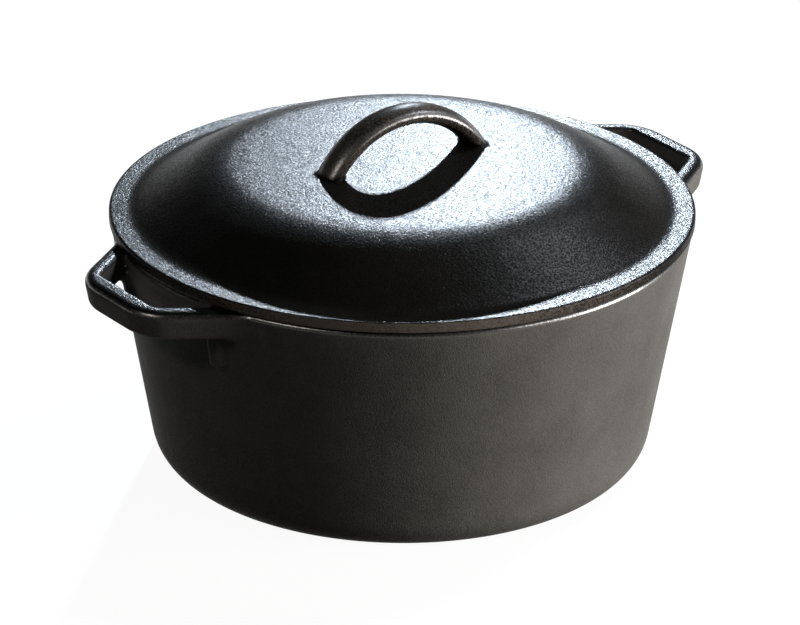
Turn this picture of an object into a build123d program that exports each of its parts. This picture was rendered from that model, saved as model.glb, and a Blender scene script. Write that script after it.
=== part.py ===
from build123d import *
import os
from math import atan2, cos, degrees, hypot, radians, tan

# A cast iron dutch oven: a pot with two cast-in loop handles, and a domed lid with a cast-in arch handle.
# Millimetres, +Z up, origin at the middle of the pot's base, +X through the two loop handles.

# Pot bowl, outside
pot_height = 118.7
rim_radius = 135.0
wall_flare = 20.6
base_corner_radius = 18.0
rim_rounding = 3.2

# Pot bowl, inside
floor_thickness = 4.4
foot_wall = 3.6
rim_wall = 4.4
floor_corner_radius = 18.0
mouth_rounding = 1.2

# Loop handles, seen from above and then from the side
handle_overhang = 27.7
grip_bar = 10.6
arm_bar = 9.3
grip_width = 44.3
arm_splay = 34.6
grip_outer_radius = 27.0
grip_inner_radius = 6.0
arm_root_radius = 28.0
arm_crotch_radius = 4.0
handle_depth = 13.4
handle_top_rounding = 3.8
handle_bottom_rounding = 2.4
opening_rounding = 1.4
root_seat = 0.3

# Ribs on the wall under the arms of the loop handles
rib_angle = 15.0
rib_width = 8.0
rib_length = 18.6
rib_proud = 3.4
rib_rounding = 2.6

# Lid flange and the ring under it that keeps the lid on the pot
lid_overhang = 0.7
flange_width = 11.7
flange_thickness = 5.0
flange_rounding = 1.1
ring_clearance = 1.0
ring_width = 6.0
ring_depth = 5.0
ring_rounding = 1.5

# Lid dome
dome_width = 34.0
crown_rise = 28.0
crown_sag = 2.4
shoulder_radius = 50.0
cove_radius = 12.0
lid_wall = 3.8
neck_radius = 6.0

# Arch handle on the lid
arch_rise = 25.9
arch_outer_radius = 50.5
arch_width = 16.2
arch_thickness = 8.8
arch_foot_radius = 1.5
lid_turn = -3.5

# How far a cutting shape runs past the face that it cuts
cut_margin = 2.0

# Radii that follow from these, all measured from the rim
base_radius = rim_radius - wall_flare
handle_reach = rim_radius + handle_overhang
lid_radius = rim_radius + lid_overhang
dome_foot_radius = lid_radius - flange_width
crown_edge_radius = dome_foot_radius - dome_width
ring_radius = rim_radius - rim_wall - ring_clearance


def rounded(profile, corner, radius):
    vertex = profile.vertices().sort_by_distance(corner)[0]
    return fillet(vertex, radius)


def turned(profile):
    return revolve(Plane.XZ * profile, axis=Axis.Z)


def wall_radius(height):
    return base_radius + (rim_radius - base_radius) * height / pot_height


def wall_lean():
    return degrees(atan2(rim_radius - base_radius, pot_height))


def bowl_outside():
    foot = (base_radius, 0)
    rim = (rim_radius, pot_height)
    profile = make_face(Polyline((0, 0), foot, rim, (0, pot_height), close=True))
    profile = rounded(profile, foot, base_corner_radius)
    profile = rounded(profile, rim, rim_rounding)
    return turned(profile)


def bowl_cavity():
    foot_radius = wall_radius(floor_thickness) - foot_wall
    mouth_radius = rim_radius - rim_wall
    flare = mouth_radius + mouth_rounding
    foot = (foot_radius, floor_thickness)
    lean = (mouth_radius - foot_radius) / (pot_height - floor_thickness)
    neck = (mouth_radius - lean * mouth_rounding, pot_height - mouth_rounding)
    lip = (flare, pot_height)
    above = pot_height + cut_margin
    edges = [
        Line((0, floor_thickness), foot),
        Line(foot, neck),
        TangentArc(neck, lip, tangent=(lean, 1)),
        Line(lip, (flare, above)),
        Line((flare, above), (0, above)),
        Line((0, above), (0, floor_thickness)),
    ]
    profile = rounded(make_face(edges), foot, floor_corner_radius)
    return turned(profile)


def trapezoid(reach, half_width, inner_reach):
    widening = (reach - inner_reach) * tan(radians(arm_splay))
    near = half_width + widening
    points = [(reach, -half_width), (reach, half_width), (inner_reach, near), (inner_reach, -near)]
    return make_face(Polyline(*points, close=True))


def loop_outline():
    # The arm's outer line lies one arm's width outside its inner line
    splay = radians(arm_splay)
    half_back = grip_width / 2 - grip_bar * tan(splay) + arm_bar / cos(splay)
    outline = trapezoid(handle_reach, half_back, rim_radius * cos(splay))
    for side in (half_back, -half_back):
        outline = rounded(outline, (handle_reach, side), grip_outer_radius)
    return outline


def loop_opening():
    wall = wall_radius(pot_height - handle_depth) - root_seat
    opening = trapezoid(handle_reach - grip_bar, grip_width / 2, wall * cos(radians(arm_splay)))
    opening -= Circle(wall)
    opening = fillet(opening.vertices().sort_by(Axis.X)[-2:], grip_inner_radius)
    opening = fillet(opening.vertices().sort_by(Axis.X)[:2], arm_crotch_radius)
    return extrude(Pos(0, 0, pot_height) * opening, -handle_depth)


def handles():
    # Both loops and a disc inside the wall in one slab, whose sides lean as the wall does
    disc_radius = rim_radius - root_seat
    loop = loop_outline()
    plan = Circle(disc_radius) + loop + Rot(0, 0, 180) * loop
    roots = [v for v in plan.vertices() if abs(hypot(v.X, v.Y) - disc_radius) < root_seat]
    plan = fillet(roots, arm_root_radius)
    slab = Pos(0, 0, pot_height) * Rot(180, 0, 0) * extrude(plan, handle_depth, taper=wall_lean())
    slab = fillet(slab.faces().sort_by(Axis.Z)[-1].edges(), handle_top_rounding)
    slab = fillet(slab.faces().sort_by(Axis.Z)[0].edges(), handle_bottom_rounding)
    opening = loop_opening()
    slab = slab - opening - Rot(0, 0, 180) * opening
    rims = ShapeList()
    for face in (slab.faces().sort_by(Axis.Z)[0], slab.faces().sort_by(Axis.Z)[-1]):
        for wire in face.inner_wires():
            rims += wire.edges()
    return fillet(rims, opening_rounding)


def rib(angle):
    # A bar that leans with the wall, from its lower end up into the handle's arm
    bottom = pot_height - handle_depth - rib_length
    seat = foot_wall / 2
    profile = Pos((rib_proud - seat) / 2, 0) * Rectangle(rib_proud + seat, rib_width)
    profile = fillet(profile.vertices().sort_by(Axis.X)[-2:], rib_rounding)
    bar = extrude(profile, rib_length + handle_depth / 2)
    return Rot(0, 0, angle) * Pos(wall_radius(bottom), 0, bottom) * Rot(0, wall_lean(), 0) * bar


def make_pot():
    pot = bowl_outside() + handles()
    for side in (0, 180):
        for angle in (side - rib_angle, side + rib_angle):
            pot += rib(angle)
    return pot - bowl_cavity()


def lid_outside():
    flange_top = pot_height + flange_thickness
    crown_top = pot_height + crown_rise
    ring_bottom = pot_height - ring_depth
    dome_foot = (dome_foot_radius, flange_top)
    crown_edge = (crown_edge_radius, crown_top - crown_sag)
    ring_corner = (ring_radius, ring_bottom)
    edge_low = (lid_radius, pot_height)
    edge_high = (lid_radius, flange_top)
    outline = [
        Polyline((0, crown_top), (0, ring_bottom), ring_corner, (ring_radius, pot_height), edge_low),
        Polyline(edge_low, edge_high, dome_foot, crown_edge),
        TangentArc((0, crown_top), crown_edge, tangent=(1, 0)),
    ]
    profile = make_face(outline)
    profile = rounded(profile, crown_edge, shoulder_radius)
    profile = rounded(profile, dome_foot, cove_radius)
    profile = rounded(profile, edge_high, flange_rounding)
    profile = rounded(profile, edge_low, flange_rounding)
    profile = rounded(profile, ring_corner, ring_rounding)
    return turned(profile)


def lid_cavity():
    # Parallel to the outside of the dome, one wall below it, then straight down inside the ring
    crown_top = pot_height + crown_rise
    fall = crown_rise - crown_sag - flange_thickness
    slope = atan2(fall, dome_width)
    crown_edge = (crown_edge_radius - lid_wall * tan(slope / 2), crown_top - crown_sag - lid_wall)
    mouth_radius = ring_radius - ring_width
    neck = (mouth_radius, crown_edge[1] - (mouth_radius - crown_edge[0]) * tan(slope))
    low = pot_height - ring_depth - cut_margin
    outline = [
        TangentArc((0, crown_top - lid_wall), crown_edge, tangent=(1, 0)),
        Polyline(crown_edge, neck, (mouth_radius, low), (0, low), (0, crown_top - lid_wall)),
    ]
    profile = rounded(make_face(outline), crown_edge, shoulder_radius - lid_wall)
    profile = rounded(profile, neck, neck_radius)
    return turned(profile)


def arch():
    centre = pot_height + crown_rise + arch_rise - arch_outer_radius
    axis = Axis((0, 0, centre), (0, -1, 0))
    section = Pos(arch_outer_radius - arch_thickness / 2, 0, centre) * Ellipse(arch_thickness / 2, arch_width / 2)
    return Rot(0, 0, lid_turn) * revolve(section, axis=axis, revolution_arc=180)


def make_lid():
    lid = lid_outside() + arch()
    feet = lid.edges().filter_by(GeomType.BSPLINE)
    return fillet(feet, arch_foot_radius) - lid_cavity()


os.makedirs("parts", exist_ok=True)
pot = make_pot()
lid = make_lid()
export_step(pot, "parts/pot.step")
export_step(lid, "parts/lid.step")
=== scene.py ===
from math import acos, atan2, cos, pi, radians, sin, sqrt, tan

import bmesh
import bpy
import numpy as np
from mathutils import Matrix, Vector


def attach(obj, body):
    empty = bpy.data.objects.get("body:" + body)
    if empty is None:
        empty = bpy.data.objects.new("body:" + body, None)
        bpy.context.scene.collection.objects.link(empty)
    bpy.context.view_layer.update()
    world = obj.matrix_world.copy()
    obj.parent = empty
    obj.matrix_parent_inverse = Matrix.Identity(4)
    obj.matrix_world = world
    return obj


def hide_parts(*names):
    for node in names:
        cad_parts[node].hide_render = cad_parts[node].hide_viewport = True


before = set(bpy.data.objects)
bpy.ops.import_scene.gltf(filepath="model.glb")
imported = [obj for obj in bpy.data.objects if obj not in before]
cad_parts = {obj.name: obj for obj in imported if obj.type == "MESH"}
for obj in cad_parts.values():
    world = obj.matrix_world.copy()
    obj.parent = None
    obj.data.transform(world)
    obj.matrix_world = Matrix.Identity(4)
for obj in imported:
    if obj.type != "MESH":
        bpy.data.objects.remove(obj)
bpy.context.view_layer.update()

scene = bpy.context.scene


def addObject(name, data):
    made = bpy.data.objects.new(name, data)
    scene.collection.objects.link(made)
    return made


# flat outlines, their signed distances and how these are joined

arcStep = radians(4)
tiny = 1e-9  # keeps divisions clear of nothing


def arcPoints(centre, start, end):
    # the shorter way round from start to end
    first = atan2(*(start - centre)[::-1])
    sweep = (atan2(*(end - centre)[::-1]) - first + pi) % (2 * pi) - pi
    steps = max(2, int(abs(sweep) / arcStep))
    radius = np.linalg.norm(start - centre)
    angles = first + sweep * np.linspace(0, 1, steps + 1)
    return [centre + radius * np.array((cos(a), sin(a))) for a in angles]


def roundedPath(corners):
    # each corner is (u, v, rounding); an arc takes the place of a rounded one
    path = []
    for i, (u, v, rounding) in enumerate(corners):
        here = np.array((u, v))
        if rounding == 0:
            path.append(here)
            continue
        before = np.array(corners[i - 1][:2]) - here
        after = np.array(corners[(i + 1) % len(corners)][:2]) - here
        before /= np.linalg.norm(before)
        after /= np.linalg.norm(after)
        half = acos(before @ after) / 2
        middle = (before + after) / np.linalg.norm(before + after)
        centre = here + middle * rounding / sin(half)
        start = here + before * rounding / tan(half)
        end = here + after * rounding / tan(half)
        path += arcPoints(centre, start, end)
    return np.array(path)


def signedDistance(path, u, v):
    # negative inside the closed outline
    nearest = np.inf
    inside = False
    for (au, av), (bu, bv) in zip(path, np.roll(path, -1, axis=0)):
        du, dv = bu - au, bv - av
        along = np.clip(((u - au) * du + (v - av) * dv) / (du * du + dv * dv + tiny * tiny), 0, 1)
        nearest = np.minimum(nearest, (u - au - along * du) ** 2 + (v - av - along * dv) ** 2)
        if av != bv:
            inside = inside ^ (((av > v) != (bv > v)) & (u < au + (v - av) * du / dv))
    return np.where(inside, -1, 1) * np.sqrt(nearest)


def softUnion(a, b, blend):
    # a plain union where blend is nothing, a cast fillet where it isn't
    reach = np.maximum(blend - np.abs(a - b), 0)
    return np.minimum(a, b) - reach * reach / (4 * np.maximum(blend, tiny))


def fade(low, high, value):
    t = np.clip((value - low) / (high - low), 0, 1)
    return t * t * (3 - 2 * t)


# a solid field, measured at points

def fieldAt(field, points):
    x, y, z = points.T
    return field(np.arctan2(y, x), np.hypot(x, y), z)


def drawOn(field, points, rounds=3, probe=5e-5, longestStep=6e-4, leastSlope=0.2):
    # a few careful steps down the slope onto the surface
    for _ in range(rounds):
        value = fieldAt(field, points)
        slope = np.stack([(fieldAt(field, points + probe * d) - value) / probe for d in np.eye(3)], -1)
        steep = np.maximum((slope * slope).sum(-1), leastSlope)
        points = points - slope * np.clip(value / steep, -longestStep, longestStep)[:, None]
    return points


def convexity(field, points, probe=0.0012, rounding=0.0028):
    # 1 on edges about as sharp as the rounding, 0 on flats and in hollows
    around = sum(fieldAt(field, points + side * probe * d) for d in np.eye(3) for side in (-1, 1))
    bend = (around - 6 * fieldAt(field, points)) / probe ** 2
    return np.clip(bend * rounding, 0, 1)


def faceUp(field, points, probe=0.0001):
    # 1 on faces that look straight up, -1 on those that look straight down
    up = np.array((0, 0, probe))
    return (fieldAt(field, points + up) - fieldAt(field, points - up)) / (2 * probe)


def polishBand(field, points, skin):
    up = faceUp(field, points)
    return fade(*skin["polishFrom"], up) * (1 - fade(*skin["polishTo"], up))


# a solid field turned into a quad mesh on a grid of rings

boxCorners = np.stack(np.meshgrid((0, 1), (0, 1), (0, 1), indexing="ij"), -1).reshape(-1, 3)


def gridLines(first, *runs):
    # each run is (end, step)
    lines = [np.array([first])]
    for end, step in runs:
        count = max(1, round((end - first) / step))
        lines.append(np.linspace(first, end, count + 1)[1:])
        first = end
    return np.concatenate(lines)


def gridTurns(grid, start=0.0):
    # fine across the two ends of the X axis, where the handles are, and coarse between them
    span, fine, coarse = (radians(grid[n]) for n in ("fineSpan", "fine", "coarse"))
    lines = gridLines(-span, (span, fine), (pi - span, coarse), (pi + span, fine), (2 * pi - span, coarse))
    return start + lines[:-1]


def edgeMiddles(values, cells):
    # in each cell, the middle of the places where the surface crosses the cell's edges
    place = np.zeros((len(cells), 3))
    hits = np.zeros(len(cells))
    for near in boxCorners:
        for axis in range(3):
            if near[axis]:
                continue
            far = near + np.eye(3, dtype=int)[axis]
            a = values[tuple((cells + near).T)]
            b = values[tuple((cells + far).T)]
            crossed = (a < 0) != (b < 0)
            share = np.where(crossed, a / np.where(crossed, a - b, 1), 0)
            place += crossed[:, None] * (near + share[:, None] * (far - near))
            hits += crossed
    return cells + place / hits[:, None]


def gatherAtAxis(points, cells):
    # the innermost cells of each level meet in one point on the axis
    pole = cells[:, 1] == 0
    points[pole, :2] = 0
    for level in np.unique(cells[pole, 2]):
        here = pole & (cells[:, 2] == level)
        points[here, 2] = points[here, 2].mean()


def joinCells(full, number):
    # a quad through the four cells around each grid edge that the surface crosses
    quads = []
    for axis in range(3):
        ends = np.moveaxis(full, axis, 0)
        edge = np.argwhere(np.moveaxis(ends[1:] != ends[:-1], 0, axis))
        b, c = [other for other in range(3) if other != axis]
        fits = np.ones(len(edge), bool)
        for other in (b, c):
            fits &= edge[:, other] < number.shape[other]
            if other:  # the turns run round, so only the other two have a first line
                fits &= edge[:, other] > 0
        edge = edge[fits]
        ring = []
        for backB, backC in ((0, 0), (1, 0), (1, 1), (0, 1)):
            cell = edge.copy()
            cell[:, b] -= backB
            cell[:, c] -= backC
            ring.append(number[cell[:, 0] % number.shape[0], cell[:, 1], cell[:, 2]])
        quads.append(np.stack(ring, -1))
    return np.concatenate(quads)


def closedPiece(name, points, quads, amounts, mergeWithin=2e-6, flatWithin=1e-7):
    mesh = bpy.data.meshes.new(name)
    mesh.from_pydata(points.tolist(), [], quads.tolist())
    for trait, amount in amounts.items():
        mesh.attributes.new(trait, "FLOAT", "POINT").data.foreach_set("value", amount)
    shape = bmesh.new()
    shape.from_mesh(mesh)
    bmesh.ops.remove_doubles(shape, verts=shape.verts, dist=mergeWithin)
    bmesh.ops.dissolve_degenerate(shape, edges=shape.edges, dist=flatWithin)
    bmesh.ops.recalc_face_normals(shape, faces=shape.faces)
    openEdges = sum(not e.is_manifold for e in shape.edges)
    shape.to_mesh(mesh)
    shape.free()
    mesh.shade_smooth()
    print(name, len(mesh.polygons), "faces,", openEdges, "open edges")
    return addObject(name, mesh)


def castMesh(name, field, turns, reaches, heights, traits, ringScale=lambda height: 1.0):
    # one vertex in each grid cell that the surface crosses, drawn onto the surface
    angle, reach, height = np.meshgrid(turns, reaches, heights, indexing="ij", sparse=True)
    values = field(angle, reach * ringScale(height), height)
    values = np.concatenate([values, values[:1]])
    full = values < 0
    count = sum(full[a:a - 1 or None, r:r - 1 or None, h:h - 1 or None].astype(int) for a, r, h in boxCorners)
    cells = np.argwhere((count > 0) & (count < len(boxCorners)))
    number = np.full(count.shape, -1)
    number[tuple(cells.T)] = np.arange(len(cells))

    grids = (np.append(turns, turns[0] + 2 * pi), reaches, heights)
    place = edgeMiddles(values, cells)
    angle, reach, height = (np.interp(p, np.arange(len(g)), g) for p, g in zip(place.T, grids))
    reach *= ringScale(height)
    points = drawOn(field, np.stack([reach * np.cos(angle), reach * np.sin(angle), height], -1))
    amounts = {trait: measure(field, points) for trait, measure in traits.items()}
    gatherAtAxis(points, cells)
    return closedPiece(name, points, joinCells(full, number), amounts)


# pot: a turned bowl with a loop handle at each side and two ribs under each handle

potSizes = dict(
    height=0.1187, rimRadius=0.135, wallFlare=0.0206, footRound=0.018, rimRound=0.0032,
    floor=0.0044, footWall=0.0036, rimWall=0.0044, insideRound=0.018, mouthRound=0.0012)
handleSizes = dict(
    overhang=0.0277, gripBar=0.0106, armBar=0.0093, gripWidth=0.0443, splay=34.6, depth=0.0134,
    gripRound=0.027, gapRound=0.006, rootRound=0.028, crotchRound=0.004,
    topRound=0.0038, bottomRound=0.0024, gapEdge=0.0018, rootSeat=0.0003,
    castFillet=0.0045, filletDown=(0.003, 0.009))
ribSizes = dict(angle=15.0, width=0.008, length=0.0186, proud=0.0034, rounding=0.0026, castFillet=0.0025)
# handles and ribs are worked out only here: above, beyond in X, and this near to the wall
handleZone = dict(above=0.075, beyond=0.1, nearWall=0.04)
pastAxis = -0.02


def wallRadius(height):
    s = potSizes
    return s["rimRadius"] - s["wallFlare"] * (1 - height / s["height"])


def bowlPaths():
    s = potSizes
    top, floor, lip = s["height"], s["floor"], s["mouthRound"]
    outside = roundedPath([
        (pastAxis, 0, 0), (wallRadius(0), 0, s["footRound"]),
        (s["rimRadius"], top, s["rimRound"]), (pastAxis, top, 0)])
    mouth = s["rimRadius"] - s["rimWall"]
    inside = roundedPath([
        (pastAxis, floor, 0), (wallRadius(floor) - s["footWall"], floor, s["insideRound"]),
        (mouth, top - lip, lip), (mouth + lip, top, 0), (mouth + lip, 2 * top, 0), (pastAxis, 2 * top, 0)])
    return outside, inside


def alongToRing(start, direction, radius):
    # how far along a line it first meets a ring around the pot's axis
    middle = start @ direction
    return -middle - sqrt(middle ** 2 - start @ start + radius ** 2)


def loopPaths():
    # the handle seen from above: its outline down to the wall, and the gap for the fingers
    s = handleSizes
    reach = potSizes["rimRadius"] + s["overhang"]
    splay = radians(s["splay"])
    halfBack = s["gripWidth"] / 2 - s["gripBar"] * tan(splay) + s["armBar"] / cos(splay)
    disc = potSizes["rimRadius"] - s["rootSeat"]
    corner = np.array((reach, halfBack))
    arm = np.array((-cos(splay), sin(splay)))
    side = np.array((sin(splay), cos(splay)))
    # the root's arc touches the arm's line and the wall's circle
    start = corner + side * s["rootRound"]
    along = alongToRing(start, arm, disc + s["rootRound"])
    centre = start + arm * along
    onArm = corner + arm * along
    onWall = centre * disc / (disc + s["rootRound"])
    insideWall = onWall * 0.9  # the outline ends inside the bowl's wall
    grip = roundedPath([(reach, 0, 0), (reach, halfBack, s["gripRound"]), (*onArm, 0), (0, 0, 0)])[1:-2]
    upper = np.array([*grip, *arcPoints(centre, onArm, onWall), insideWall])
    outline = np.concatenate([upper, (upper * (1, -1))[::-1]])

    wall = wallRadius(potSizes["height"] - s["depth"]) - s["rootSeat"]
    hand = np.array((reach - s["gripBar"], s["gripWidth"] / 2))
    crotch = hand + arm * alongToRing(hand, arm, wall)
    gap = roundedPath([
        (*(hand * (1, -1)), s["gapRound"]), (*hand, s["gapRound"]), (*crotch, s["crotchRound"]),
        (wall, 0, 0), (*(crotch * (1, -1)), s["crotchRound"])])
    return outline, gap


def loopSections():
    # across the bar: the outer side leans as the wall does, the gap's side is upright
    s = handleSizes
    top = potSizes["height"]
    low = top - s["depth"]
    drawnIn = s["depth"] * potSizes["wallFlare"] / top
    far = 0.1  # well past the other side of the bar
    outer = roundedPath([
        (-far, low, 0), (-drawnIn, low, s["bottomRound"]), (0, top, s["topRound"]), (-far, top, 0)])
    inner = roundedPath([(far, low, 0), (0, low, s["gapEdge"]), (0, top, s["gapEdge"]), (far, top, 0)])
    return outer, inner


def ribField(x, y, z):
    # a rounded bar that leans with the wall, from its lower end up into the handle's arm
    s = ribSizes
    turn = radians(s["angle"])
    lean = atan2(potSizes["wallFlare"], potSizes["height"])
    bottom = potSizes["height"] - handleSizes["depth"] - s["length"]
    seat = potSizes["footWall"] / 2
    out = x * cos(turn) + y * sin(turn) - wallRadius(bottom)
    across = y * cos(turn) - x * sin(turn)
    up = z - bottom
    local = (out * cos(lean) - up * sin(lean), across, out * sin(lean) + up * cos(lean))
    low = (-seat, -s["width"] / 2, 0)
    high = (s["proud"], s["width"] / 2, s["length"] + handleSizes["depth"] / 2)
    beyond = [np.abs(p - (a + b) / 2) - (b - a) / 2 + s["rounding"] for p, a, b in zip(local, low, high)]
    outsideBox = np.sqrt(sum(np.maximum(b, 0) ** 2 for b in beyond))
    return outsideBox + np.minimum(np.maximum.reduce(beyond), 0) - s["rounding"]


def turnedFields(outside, inside, turn, ring, height):
    # the distances from both turned outlines, and the places that they belong to
    return [a.copy() for a in np.broadcast_arrays(
        signedDistance(outside, ring, height), signedDistance(inside, ring, height),
        ring * np.cos(turn), ring * np.sin(turn), height)]


def makePotField():
    outside, inside = bowlPaths()
    outline, gap = loopPaths()
    outerSection, innerSection = loopSections()
    zone = handleZone

    def field(turn, ring, height):
        solid, hollow, x, y, z = turnedFields(outside, inside, turn, ring, height)
        near = (z > zone["above"]) & (np.abs(x) > zone["beyond"]) & (np.abs(solid) < zone["nearWall"])
        sideX, sideY, sideZ = np.abs(x[near]), y[near], z[near]
        loop = np.maximum(
            signedDistance(outerSection, signedDistance(outline, sideX, sideY), sideZ),
            signedDistance(innerSection, signedDistance(gap, sideX, sideY), sideZ))
        # flush with the rim at the top, blended into the wall lower down
        fillet = handleSizes["castFillet"] * fade(*handleSizes["filletDown"], potSizes["height"] - sideZ)
        joined = softUnion(solid[near], loop, fillet)
        solid[near] = softUnion(joined, ribField(sideX, np.abs(sideY), sideZ), ribSizes["castFillet"])
        return np.maximum(solid, -hollow)

    return field


# where the pot's skin changes: each pair is where a change begins and where it is full;
# places are metres from the rim or above the base, and the last four pairs are how far a face looks up
potSkin = dict(
    rubbed=0.6, rubbedDown=(0.0026, 0.004), rubbedIn=(-0.0022, -0.0012), rubbedOut=(0.0004, 0.003),
    handleHeight=(0.104, 0.108), sheen=(0.6, 0.85), soot=(0.2, 0.45),
    polishFrom=(0.32, 0.42), polishTo=(0.66, 0.8))


def rimWear(field, points):
    # the rim's outer rounding is rubbed by the lid
    k = potSkin
    down = potSizes["height"] - points[:, 2]
    out = np.hypot(*points[:, :2].T) - potSizes["rimRadius"]
    onRim = (1 - fade(*k["rubbedDown"], down)) * fade(*k["rubbedIn"], out) * (1 - fade(*k["rubbedOut"], out))
    return k["rubbed"] * convexity(field, points) * onRim


def onHandles(points):
    return fade(*potSkin["handleHeight"], points[:, 2])


def handleSheen(field, points):
    # the tops of the handles are smoother than the walls
    return fade(*potSkin["sheen"], faceUp(field, points)) * onHandles(points)


def handlePolish(field, points):
    # so are the outer roundings of the handles and the rim
    return polishBand(field, points, potSkin) * onHandles(points)


def handlePaintedShade(field, points):
    # painted shade: all that faces up on the handles and the rim is darkened, the rim's groove under the lid
    # among it
    return fade(*potSkin["soot"], faceUp(field, points)) * onHandles(points)


def bowlScale(height):
    # the grid's rings lean as the wall does
    return wallRadius(height) / potSizes["rimRadius"]


# turns in degrees; reaches and heights are a first line and then runs of (end, step)
potGrid = dict(
    fineSpan=35.0, fine=0.5, coarse=2.0,
    reaches=(0, (0.1, 0.008), (0.126, 0.0022), (0.137, 0.001), (0.1645, 0.0011)),
    heights=(-0.0007, (0.006, 0.0011), (0.024, 0.0022), (0.084, 0.0046), (0.103, 0.0014), (0.1196, 0.00085)))


def makePot():
    reaches, heights = gridLines(*potGrid["reaches"]), gridLines(*potGrid["heights"])
    traits = dict(wear=rimWear, sheen=handleSheen, polish=handlePolish, soot=handlePaintedShade)
    pot = castMesh("potCasting", makePotField(), gridTurns(potGrid), reaches, heights, traits, bowlScale)
    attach(pot, "pot")
    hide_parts("pot")
    return pot


# lid: a turned dome with an arch handle

lidSizes = dict(
    seat=0.1187, overhang=0.0007, flangeWidth=0.0117, flange=0.005, flangeRound=0.0011,
    ringClearance=0.001, ringWidth=0.006, ringDepth=0.005, ringRound=0.0015, neckRound=0.006,
    domeWidth=0.034, crownRise=0.028, crownSag=0.0024, shoulderRound=0.050, coveRound=0.012, wall=0.0038)
archSizes = dict(
    rise=0.02588, outerRadius=0.0505, width=0.0162, thickness=0.0088, turn=-3.5, castFillet=0.0008)
# the arch is worked out only here: above, and this near to the axis
archZone = dict(above=0.135, nearAxis=0.07)


def crownArc(edgeRadius, top, sag, steps=5):
    return [(edgeRadius * i / steps, top - sag * (i / steps) ** 2, 0) for i in range(steps)]


def lidPaths():
    s = lidSizes
    flangeTop = s["seat"] + s["flange"]
    crownTop = s["seat"] + s["crownRise"]
    ringRadius = potSizes["rimRadius"] - potSizes["rimWall"] - s["ringClearance"]
    ringBottom = s["seat"] - s["ringDepth"]
    lidRadius = potSizes["rimRadius"] + s["overhang"]
    domeFoot = lidRadius - s["flangeWidth"]
    crownEdge = domeFoot - s["domeWidth"]
    outside = roundedPath([
        *crownArc(crownEdge, crownTop, s["crownSag"]),
        (crownEdge, crownTop - s["crownSag"], s["shoulderRound"]),
        (domeFoot, flangeTop, s["coveRound"]), (lidRadius, flangeTop, s["flangeRound"]),
        (lidRadius, s["seat"], s["flangeRound"]), (ringRadius, s["seat"], 0),
        (ringRadius, ringBottom, s["ringRound"]), (pastAxis, ringBottom, 0), (pastAxis, crownTop, 0)])
    # the hollow runs one wall below the dome, then straight down inside the ring
    slope = atan2(s["crownRise"] - s["crownSag"] - s["flange"], s["domeWidth"])
    insideEdge = crownEdge - s["wall"] * tan(slope / 2)
    insideTop = crownTop - s["wall"]
    edgeHeight = insideTop - s["crownSag"]
    mouth = ringRadius - s["ringWidth"]
    neck = edgeHeight - (mouth - insideEdge) * tan(slope)
    low = ringBottom - 0.002  # a little past the ring
    inside = roundedPath([
        *crownArc(insideEdge, insideTop, s["crownSag"]),
        (insideEdge, edgeHeight, s["shoulderRound"] - s["wall"]),
        (mouth, neck, s["neckRound"]), (mouth, low, 0), (pastAxis, low, 0), (pastAxis, insideTop, 0)])
    return outside, inside


def archField(x, y, z):
    # an oval bar bent round a circle
    s = archSizes
    turn = radians(s["turn"])
    centre = lidSizes["seat"] + lidSizes["crownRise"] + s["rise"] - s["outerRadius"]
    along = x * cos(turn) + y * sin(turn)
    across = y * cos(turn) - x * sin(turn)
    out = np.hypot(along, z - centre) - (s["outerRadius"] - s["thickness"] / 2)
    halfThick, halfWide = s["thickness"] / 2, s["width"] / 2
    scaled = np.hypot(out / halfThick, across / halfWide)
    slope = np.hypot(out / halfThick ** 2, across / halfWide ** 2)
    return scaled * (scaled - 1) / np.maximum(slope, tiny)


def makeLidField():
    outside, inside = lidPaths()
    zone = archZone

    def field(turn, ring, height):
        solid, hollow, x, y, z = turnedFields(outside, inside, turn, ring, height)
        near = (z > zone["above"]) & (np.hypot(x, y) < zone["nearAxis"])
        solid[near] = softUnion(solid[near], archField(x[near], y[near], z[near]), archSizes["castFillet"])
        return np.maximum(solid, -hollow)

    return field


# where the lid's skin changes, in pairs as on the pot; places are metres from the edge or above the crown
lidSkin = dict(
    edgeIn=(-0.0009, -0.0002), edgeWearAndHighlight=0.8, highlightLeast=0.3, highlightTurn=50.0,
    archUp=(0.0, 0.002), archWear=0.54, archSheen=0.05, sheen=(-0.1, 0.2),
    polishFrom=(0.3, 0.45), polishTo=(0.68, 0.85))


def onArch(points):
    return fade(*lidSkin["archUp"], points[:, 2] - lidSizes["seat"] - lidSizes["crownRise"])


def edgeWearAndHighlight(field, points):
    # the flange's edge is ground, and made lighter towards two opposite ends as a painted highlight; the arch
    # is rubbed by hands
    k = lidSkin
    out = np.hypot(*points[:, :2].T) - potSizes["rimRadius"] - lidSizes["overhang"]
    # painted highlight: the share of wear rises and falls twice around the edge
    turn = np.arctan2(points[:, 1], points[:, 0]) - radians(k["highlightTurn"])
    ground = k["highlightLeast"] + (1 - k["highlightLeast"]) * (0.5 + 0.5 * np.cos(2 * turn))
    return k["edgeWearAndHighlight"] * ground * fade(*k["edgeIn"], out) + k["archWear"] * onArch(points)


def domeSheen(field, points):
    # the arch is dulled by hands, and the underside by steam
    k = lidSkin
    return fade(*k["sheen"], faceUp(field, points)) * (1 - (1 - k["archSheen"]) * onArch(points))


def archPolish(field, points):
    return polishBand(field, points, lidSkin) * onArch(points)


lidGrid = dict(
    fineSpan=16.0, fine=0.5, coarse=1.5,
    reaches=(0, (0.056, 0.0013), (0.084, 0.0035), (0.112, 0.0022), (0.133, 0.001), (0.1364, 0.0005)),
    heights=(0.1128, (0.118, 0.0008), (0.1245, 0.0005), (0.142, 0.0017), (0.1485, 0.0008), (0.1736, 0.0012)))


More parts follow.
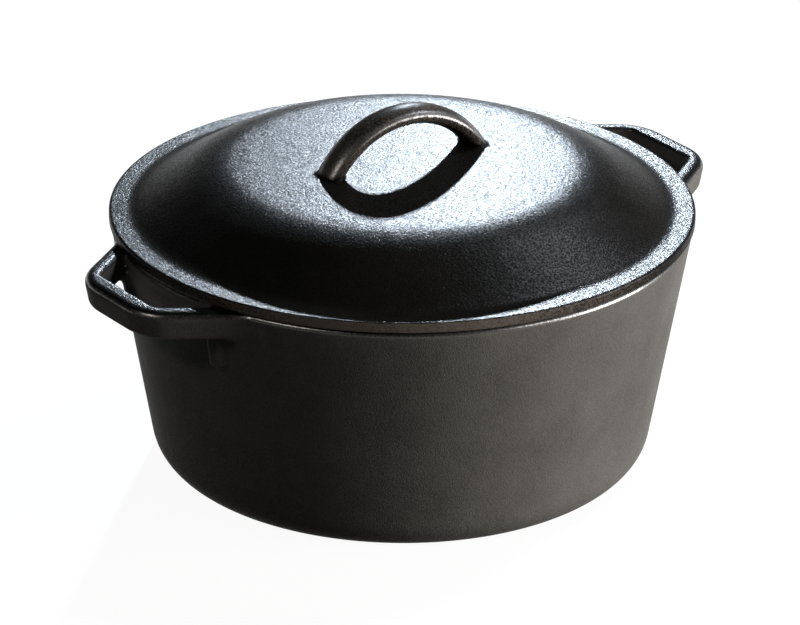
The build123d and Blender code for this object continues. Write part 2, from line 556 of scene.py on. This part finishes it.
def makeLid():
    turns = gridTurns(lidGrid, radians(archSizes["turn"]))
    reaches, heights = gridLines(*lidGrid["reaches"]), gridLines(*lidGrid["heights"])
    traits = dict(wear=edgeWearAndHighlight, sheen=domeSheen, polish=archPolish)
    lid = castMesh("lidCasting", makeLidField(), turns, reaches, heights, traits)
    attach(lid, "lid")
    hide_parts("lid")
    return lid


# materials

class Graph:
    def __init__(self, tree):
        self.tree = tree

    def node(self, kind, settings=None, **values):
        made = self.tree.nodes.new(kind)
        for key, value in (settings or {}).items():
            if key == "stops":
                self.setStops(made.color_ramp, value)
            else:
                setattr(made, key, value)
        for key, value in values.items():
            self.plug(made, key, value)
        return made

    def plug(self, made, key, value):
        # in6 is the socket's number, and Base_Color its name
        if key.startswith("in"):
            socket = made.inputs[int(key[2:])]
        else:
            socket = made.inputs[key.replace("_", " ")]
        if isinstance(value, Value):
            self.tree.links.new(value.socket, socket)
        else:
            socket.default_value = value

    def setStops(self, ramp, stops):
        while len(ramp.elements) < len(stops):
            ramp.elements.new(1)
        for element, (position, shade) in zip(ramp.elements, stops):
            element.position = position
            element.color = (*shade, 1)

    def value(self, kind, output, settings=None, **values):
        return Value(self, self.node(kind, settings, **values).outputs[output])


class Value:
    def __init__(self, graph, socket):
        self.graph = graph
        self.socket = socket

    def math(self, operation, a, b):
        return self.graph.value("ShaderNodeMath", 0, dict(operation=operation), in0=a, in1=b)

    def function(self, operation):
        return self.graph.value("ShaderNodeMath", 0, dict(operation=operation), in0=self)

    def __add__(self, other):
        return self.math("ADD", self, other)

    def __radd__(self, other):
        return self.math("ADD", other, self)

    def __sub__(self, other):
        return self.math("SUBTRACT", self, other)

    def __rsub__(self, other):
        return self.math("SUBTRACT", other, self)

    def __mul__(self, other):
        return self.math("MULTIPLY", self, other)

    def __rmul__(self, other):
        return self.math("MULTIPLY", other, self)

    def __truediv__(self, other):
        return self.math("DIVIDE", self, other)


def emptyMaterial(name):
    material = bpy.data.materials.new(name)
    material.use_nodes = True
    material.node_tree.nodes.clear()
    return material, Graph(material.node_tree)


# the pot and the lid are the same iron: the pot's tones are set lighter as painted light on its walls, the
# lid's darker as painted shade on its dome
potFinish = dict(
    hollow=(0.048, 0.045, 0.041), raised=(0.094, 0.089, 0.083), ground=(0.110, 0.097, 0.086),
    grain=1250.0, grainDepth=0.00020, roughness=0.42, groundRoughness=0.30, specular=0.004,
    glint=0.05, glintRoughness=0.27, sheenSmooth=0.3, coatRoughness=0.30)
lidFinish = dict(
    hollow=(0.003, 0.0027, 0.0024), raised=(0.008, 0.0073, 0.0065), ground=(0.095, 0.080, 0.068),
    grain=1000.0, grainDepth=0.00015, roughness=0.30, groundRoughness=0.30, specular=0.008,
    glint=0.043, glintRoughness=0.29, sheenSmooth=0.0, coatRoughness=0.34)
# the last colour here is the painted shade laid on faces that look up
ironSizes = dict(
    grainRoughness=0.55, sandFiner=2.1, sandDepth=0.5, swell=110.0, swellDepth=1.4,
    patches=26.0, patchRoughness=0.6, patchShare=0.5, hollowAt=0.30, raisedAt=0.70, roughnessSpread=0.05,
    wearFrom=0.35, wearTo=0.95, wearGrain=0.7, wearPatches=0.3, wearSmooth=0.6, wearMetal=0.06,
    spark=1120.0, sparkFrom=0.40, sparkTo=0.60, sparkCoat=0.5, coatIor=2.6, soot=(0.004, 0.0037, 0.0034))


def seasonedIron(name, finish):
    f = finish
    s = ironSizes
    material, g = emptyMaterial(name)
    where = g.value("ShaderNodeTexCoord", "Object")

    def noise(scale, detail, roughness=0.5):
        return g.value("ShaderNodeTexNoise", 0, Vector=where, Scale=scale, Detail=detail, Roughness=roughness)

    def trait(stored):
        return g.value("ShaderNodeAttribute", "Fac", dict(attribute_name=stored))

    def smooth(value, low, high):
        return g.value("ShaderNodeMapRange", 0, dict(interpolation_type="SMOOTHSTEP"),
                       Value=value, From_Min=low, From_Max=high)

    def covered(amount, under, over):
        return g.value("ShaderNodeMix", 2, dict(data_type="RGBA"), in0=amount, in6=under, in7=(*over, 1))

    grain = noise(f["grain"], 2.0, s["grainRoughness"])
    sand = noise(f["grain"] * s["sandFiner"], 1.0)
    swell = noise(s["swell"], 2.0)
    patches = noise(s["patches"], 4.0, s["patchRoughness"])
    uneven = (grain - 0.5) * s["wearGrain"] + (patches - 0.5) * s["wearPatches"]
    # this is real wear on the pot's rim and the lid's arch, and on the lid's edge also a painted highlight
    wornAndHighlight = smooth(trait("wear") + uneven, s["wearFrom"], s["wearTo"])
    sheen = trait("sheen")

    stops = [(s["hollowAt"], f["hollow"]), (s["raisedAt"], f["raised"])]
    mottle = patches * s["patchShare"] + grain * (1 - s["patchShare"])
    skin = g.value("ShaderNodeValToRGB", 0, dict(stops=stops), Fac=mottle)
    # the base colour: the grain's tone, mixed towards the ground colour where worn, then darkened where shade
    # is painted
    shade = covered(trait("soot"), covered(wornAndHighlight, skin, f["ground"]), s["soot"])
    rough = f["roughness"] - s["roughnessSpread"] / 2 + patches * s["roughnessSpread"]
    rough = rough + wornAndHighlight * (f["groundRoughness"] - f["roughness"])
    fine = (grain + sand * s["sandDepth"]) * (1 - wornAndHighlight * s["wearSmooth"]) * (1 - sheen * f["sheenSmooth"])
    height = fine + swell * s["swellDepth"]
    bump = g.value("ShaderNodeBump", 0, Strength=1.0, Distance=f["grainDepth"], Height=height)

    # only some of the grains glint, and only where the sheen or the polish allows it
    spark = smooth(noise(s["spark"], 1.0), s["sparkFrom"], s["sparkTo"])
    coat = trait("polish") * (spark * s["sparkCoat"] + (1 - s["sparkCoat"]))
    shared = dict(Base_Color=shade, Normal=bump, Metallic=wornAndHighlight * s["wearMetal"], Coat_Weight=coat,
                  Coat_Roughness=f["coatRoughness"], Coat_IOR=s["coatIor"])
    dull = g.value(
        "ShaderNodeBsdfPrincipled", 0, Roughness=rough, Specular_IOR_Level=f["specular"], **shared)
    glossy = rough + (f["glintRoughness"] - f["roughness"])
    glinting = g.value(
        "ShaderNodeBsdfPrincipled", 0, Roughness=glossy, Specular_IOR_Level=f["glint"], **shared)
    surface = g.value("ShaderNodeMixShader", 0, in0=sheen * spark, in1=dull, in2=glinting)
    g.node("ShaderNodeOutputMaterial", Surface=surface)
    print(name, "made with", len(material.node_tree.nodes), "nodes")
    return material


def dress(piece, material):
    piece.data.materials.clear()
    piece.data.materials.append(material)


# drip points: rings of small cast points under the lid, made with Geometry Nodes

# the taper is shares of the base radius and of the length
dripSizes = dict(
    rings=4, spacing=0.0185, stagger=0.26, length=0.0046, baseRadius=0.0042, sunk=0.0008, sides=10,
    taper=((0.62, 0.12), (0.45, 0.4), (0.37, 0.75), (0.2, 0.95)), rayLength=0.1)


def makeDrip():
    # one point, flared where it leaves the lid, with a flat inside the lid that closes it
    s = dripSizes
    sides = s["sides"]
    profile = [(s["baseRadius"], s["sunk"])]
    profile += [(wide * s["baseRadius"], -deep * s["length"]) for wide, deep in s["taper"]]
    angles = np.linspace(0, 2 * pi, sides + 1)[:-1]
    verts = [(radius * cos(a), radius * sin(a), height) for radius, height in profile for a in angles]
    tip = len(verts)
    verts.append((0, 0, -s["length"]))
    rings = [range(first, first + sides) for first in range(0, tip, sides)]
    faces = [list(rings[0])]
    for i in range(sides):
        for high, low in zip(rings, rings[1:]):
            faces.append((high[i - 1], low[i - 1], low[i], high[i]))
        faces.append((rings[-1][i - 1], tip, rings[-1][i]))
    mesh = bpy.data.meshes.new("drip")
    mesh.from_pydata(verts, [], faces)
    mesh.shade_smooth()
    return bpy.data.objects.new("drip", mesh)


def makeDripTree():
    tree = bpy.data.node_groups.new("dripRings", "GeometryNodeTree")
    sockets = dict(Lid="NodeSocketObject", Drip="NodeSocketObject", Rings="NodeSocketInt",
                   Spacing="NodeSocketFloat", Stagger="NodeSocketFloat", Iron="NodeSocketMaterial")
    for socketName, kind in sockets.items():
        tree.interface.new_socket(name=socketName, in_out="INPUT", socket_type=kind)
    tree.interface.new_socket(name="Geometry", in_out="OUTPUT", socket_type="NodeSocketGeometry")
    g = Graph(tree)
    given = g.node("NodeGroupInput").outputs
    rings, spacing, stagger = (Value(g, given[n]) for n in ("Rings", "Spacing", "Stagger"))
    # ring k holds 6k points, so the rings up to it hold 3k(k + 1)
    index = g.value("GeometryNodeInputIndex", 0)
    ring = (((index + 1) * 12 + 9).function("SQRT") - 3) * (1 / 6)
    ring = (ring - 1e-4).function("CEIL")  # a whole number stays as it is
    turn = (index - ring * (ring - 1) * 3) / (ring * 6) * (2 * pi) + ring * stagger
    reach = ring * spacing
    below = g.value("ShaderNodeCombineXYZ", 0, X=reach * turn.function("COSINE"),
                    Y=reach * turn.function("SINE"), Z=lidSizes["seat"])
    points = g.value("GeometryNodePoints", 0, Count=rings * (rings + 1) * 3, Position=below)
    lidSurface = g.value("GeometryNodeObjectInfo", "Geometry", Object=Value(g, given["Lid"]))
    hit = g.value("GeometryNodeRaycast", "Hit Position", Target_Geometry=lidSurface,
                  Source_Position=below, Ray_Direction=(0, 0, 1), Ray_Length=dripSizes["rayLength"])
    placed = g.value("GeometryNodeSetPosition", 0, Geometry=points, Position=hit)
    drip = g.value("GeometryNodeObjectInfo", "Geometry", Object=Value(g, given["Drip"]))
    copies = g.value("GeometryNodeInstanceOnPoints", 0, Points=placed, Instance=drip)
    solid = g.value("GeometryNodeRealizeInstances", 0, Geometry=copies)
    finished = g.value("GeometryNodeSetMaterial", 0, Geometry=solid, Material=Value(g, given["Iron"]))
    g.node("NodeGroupOutput", Geometry=finished)
    return tree


def makeDrips(lid, iron):
    s = dripSizes
    holder = addObject("dripHolder", bpy.data.meshes.new("dripHolder"))
    modifier = holder.modifiers.new("dripRings", "NODES")
    modifier.node_group = makeDripTree()
    drip = makeDrip()
    given = dict(Lid=lid, Drip=drip, Rings=s["rings"], Spacing=s["spacing"], Stagger=s["stagger"], Iron=iron)
    for item in modifier.node_group.interface.items_tree:
        if item.in_out == "INPUT":
            modifier[item.identifier] = given[item.name]
    bpy.context.view_layer.update()
    mesh = bpy.data.meshes.new_from_object(holder.evaluated_get(bpy.context.evaluated_depsgraph_get()))
    bpy.data.objects.remove(holder)
    bpy.data.objects.remove(drip)
    drips = addObject("lidDripPoints", mesh)
    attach(drips, "lid")
    print("lidDripPoints", len(mesh.polygons), "faces")
    return drips


# floor, camera and light

stageSizes = dict(
    floorRadius=8.0, sweepRadius=0.9, sweepSteps=8, segments=96, sunk=0.0002,
    paper=0.07, paperGlow=0.945, world=0.014)


def makeStage():
    # a round floor whose edge sweeps up
    s = stageSizes
    profile = [(s["floorRadius"] + s["sweepRadius"] * sin(t), s["sweepRadius"] * (1 - cos(t)) - s["sunk"])
               for t in np.linspace(0, pi / 2, s["sweepSteps"])]
    angles = np.linspace(0, 2 * pi, s["segments"] + 1)[:-1]
    mesh = bpy.data.meshes.new("studioPaper")
    shape = bmesh.new()
    rings = [[shape.verts.new((r * cos(a), r * sin(a), h)) for a in angles] for r, h in profile]
    shape.faces.new(rings[0])
    for low, high in zip(rings, rings[1:]):
        for i in range(s["segments"]):
            shape.faces.new((low[i - 1], low[i], high[i], high[i - 1]))
    bmesh.ops.recalc_face_normals(shape, faces=shape.faces)
    shape.to_mesh(mesh)
    shape.free()
    paper = addObject("studioPaper", mesh)
    # white to the eye and in reflections, and dim as a source of light
    material, g = emptyMaterial("whitePaper")
    rays = g.node("ShaderNodeLightPath").outputs
    direct, mirrored, passing = (Value(g, rays[f"Is {n} Ray"]) for n in ("Camera", "Glossy", "Transmission"))
    seen = direct + mirrored + passing
    sheet = g.value("ShaderNodeBsdfDiffuse", 0, Color=(s["paper"], s["paper"], s["paper"], 1))
    glow = g.value("ShaderNodeEmission", 0, Strength=seen * s["paperGlow"])
    both = g.value("ShaderNodeAddShader", 0, in0=sheet, in1=glow)
    g.node("ShaderNodeOutputMaterial", Surface=both)
    paper.data.materials.append(material)


cameraView = dict(
    azimuth=-36.12, elevation=24.03, roll=0.377, distance=2.5, rightShift=-0.00072, upShift=0.06267,
    focalPixels=5293.0, imageWidth=800, sensor=36.0, farthest=50)


def viewAxes(azimuth, elevation):
    a, e = radians(azimuth), radians(elevation)
    back = Vector((sin(a) * cos(e), -cos(a) * cos(e), sin(e)))
    right = Vector((cos(a), sin(a), 0))
    return right, back.cross(right), back


def facing(right, up, back, eye):
    return Matrix((
        (right.x, up.x, back.x, eye.x), (right.y, up.y, back.y, eye.y),
        (right.z, up.z, back.z, eye.z), (0, 0, 0, 1)))


def makeCamera():
    v = cameraView
    right, up, back = viewAxes(v["azimuth"], v["elevation"])
    eye = back * v["distance"] + right * v["rightShift"] + up * v["upShift"]
    roll = radians(v["roll"])
    tilted = right * cos(roll) + up * sin(roll)
    upright = up * cos(roll) - right * sin(roll)
    data = bpy.data.cameras.new("photoCamera")
    data.sensor_width = v["sensor"]
    data.lens = v["focalPixels"] / v["imageWidth"] * v["sensor"]
    data.clip_end = v["farthest"]
    camera = addObject("photoCamera", data)
    camera.matrix_world = facing(tilted, upright, back, eye)
    scene.camera = camera


# each turn starts at the camera's azimuth
lamps = dict(
    backKey=dict(
        turn=177.4, elevation=24.3, distance=2.2, size=(0.06, 0.06), watts=90, colour=(0.77, 0.88, 1.0)),
    rightFill=dict(
        turn=82, elevation=5, distance=1.8, size=(1.0, 0.6), watts=80, colour=(1.0, 0.99, 0.98)),
    overRight=dict(
        turn=128, elevation=52, distance=1.8, size=(0.35, 0.35), watts=32, colour=(0.84, 0.90, 1.0)),
    leftGlint=dict(
        turn=-48, elevation=36, distance=1.8, size=(0.50, 0.16), watts=3.4, colour=(1.0, 0.93, 0.84)),
    rightGlint=dict(
        turn=54, elevation=20, distance=1.8, size=(0.40, 0.15), watts=6.5, colour=(1.0, 0.95, 0.90)))
aimHeight = 0.12


def makeLights():
    for name, s in lamps.items():
        right, up, back = viewAxes(cameraView["azimuth"] + s["turn"], s["elevation"])
        data = bpy.data.lights.new(name, "AREA")
        data.shape = "RECTANGLE"
        data.size, data.size_y = s["size"]
        data.energy = s["watts"]
        data.color = s["colour"]
        lamp = addObject(name, data)
        lamp.matrix_world = facing(right, up, back, back * s["distance"] + Vector((0, 0, aimHeight)))
    world = bpy.data.worlds.new("studioAir")
    scene.world = world
    world.use_nodes = True
    level = stageSizes["world"]
    world.node_tree.nodes["Background"].inputs["Color"].default_value = (level, level, level, 1)
    scene.view_settings.view_transform = "Standard"


pot = makePot()
lid = makeLid()
dress(pot, seasonedIron("potSeasonedIron", potFinish))
lidIron = seasonedIron("lidSeasonedIron", lidFinish)
dress(lid, lidIron)
makeDrips(lid, lidIron)
makeStage()
makeCamera()
makeLights()
print("stage, camera and lights set")
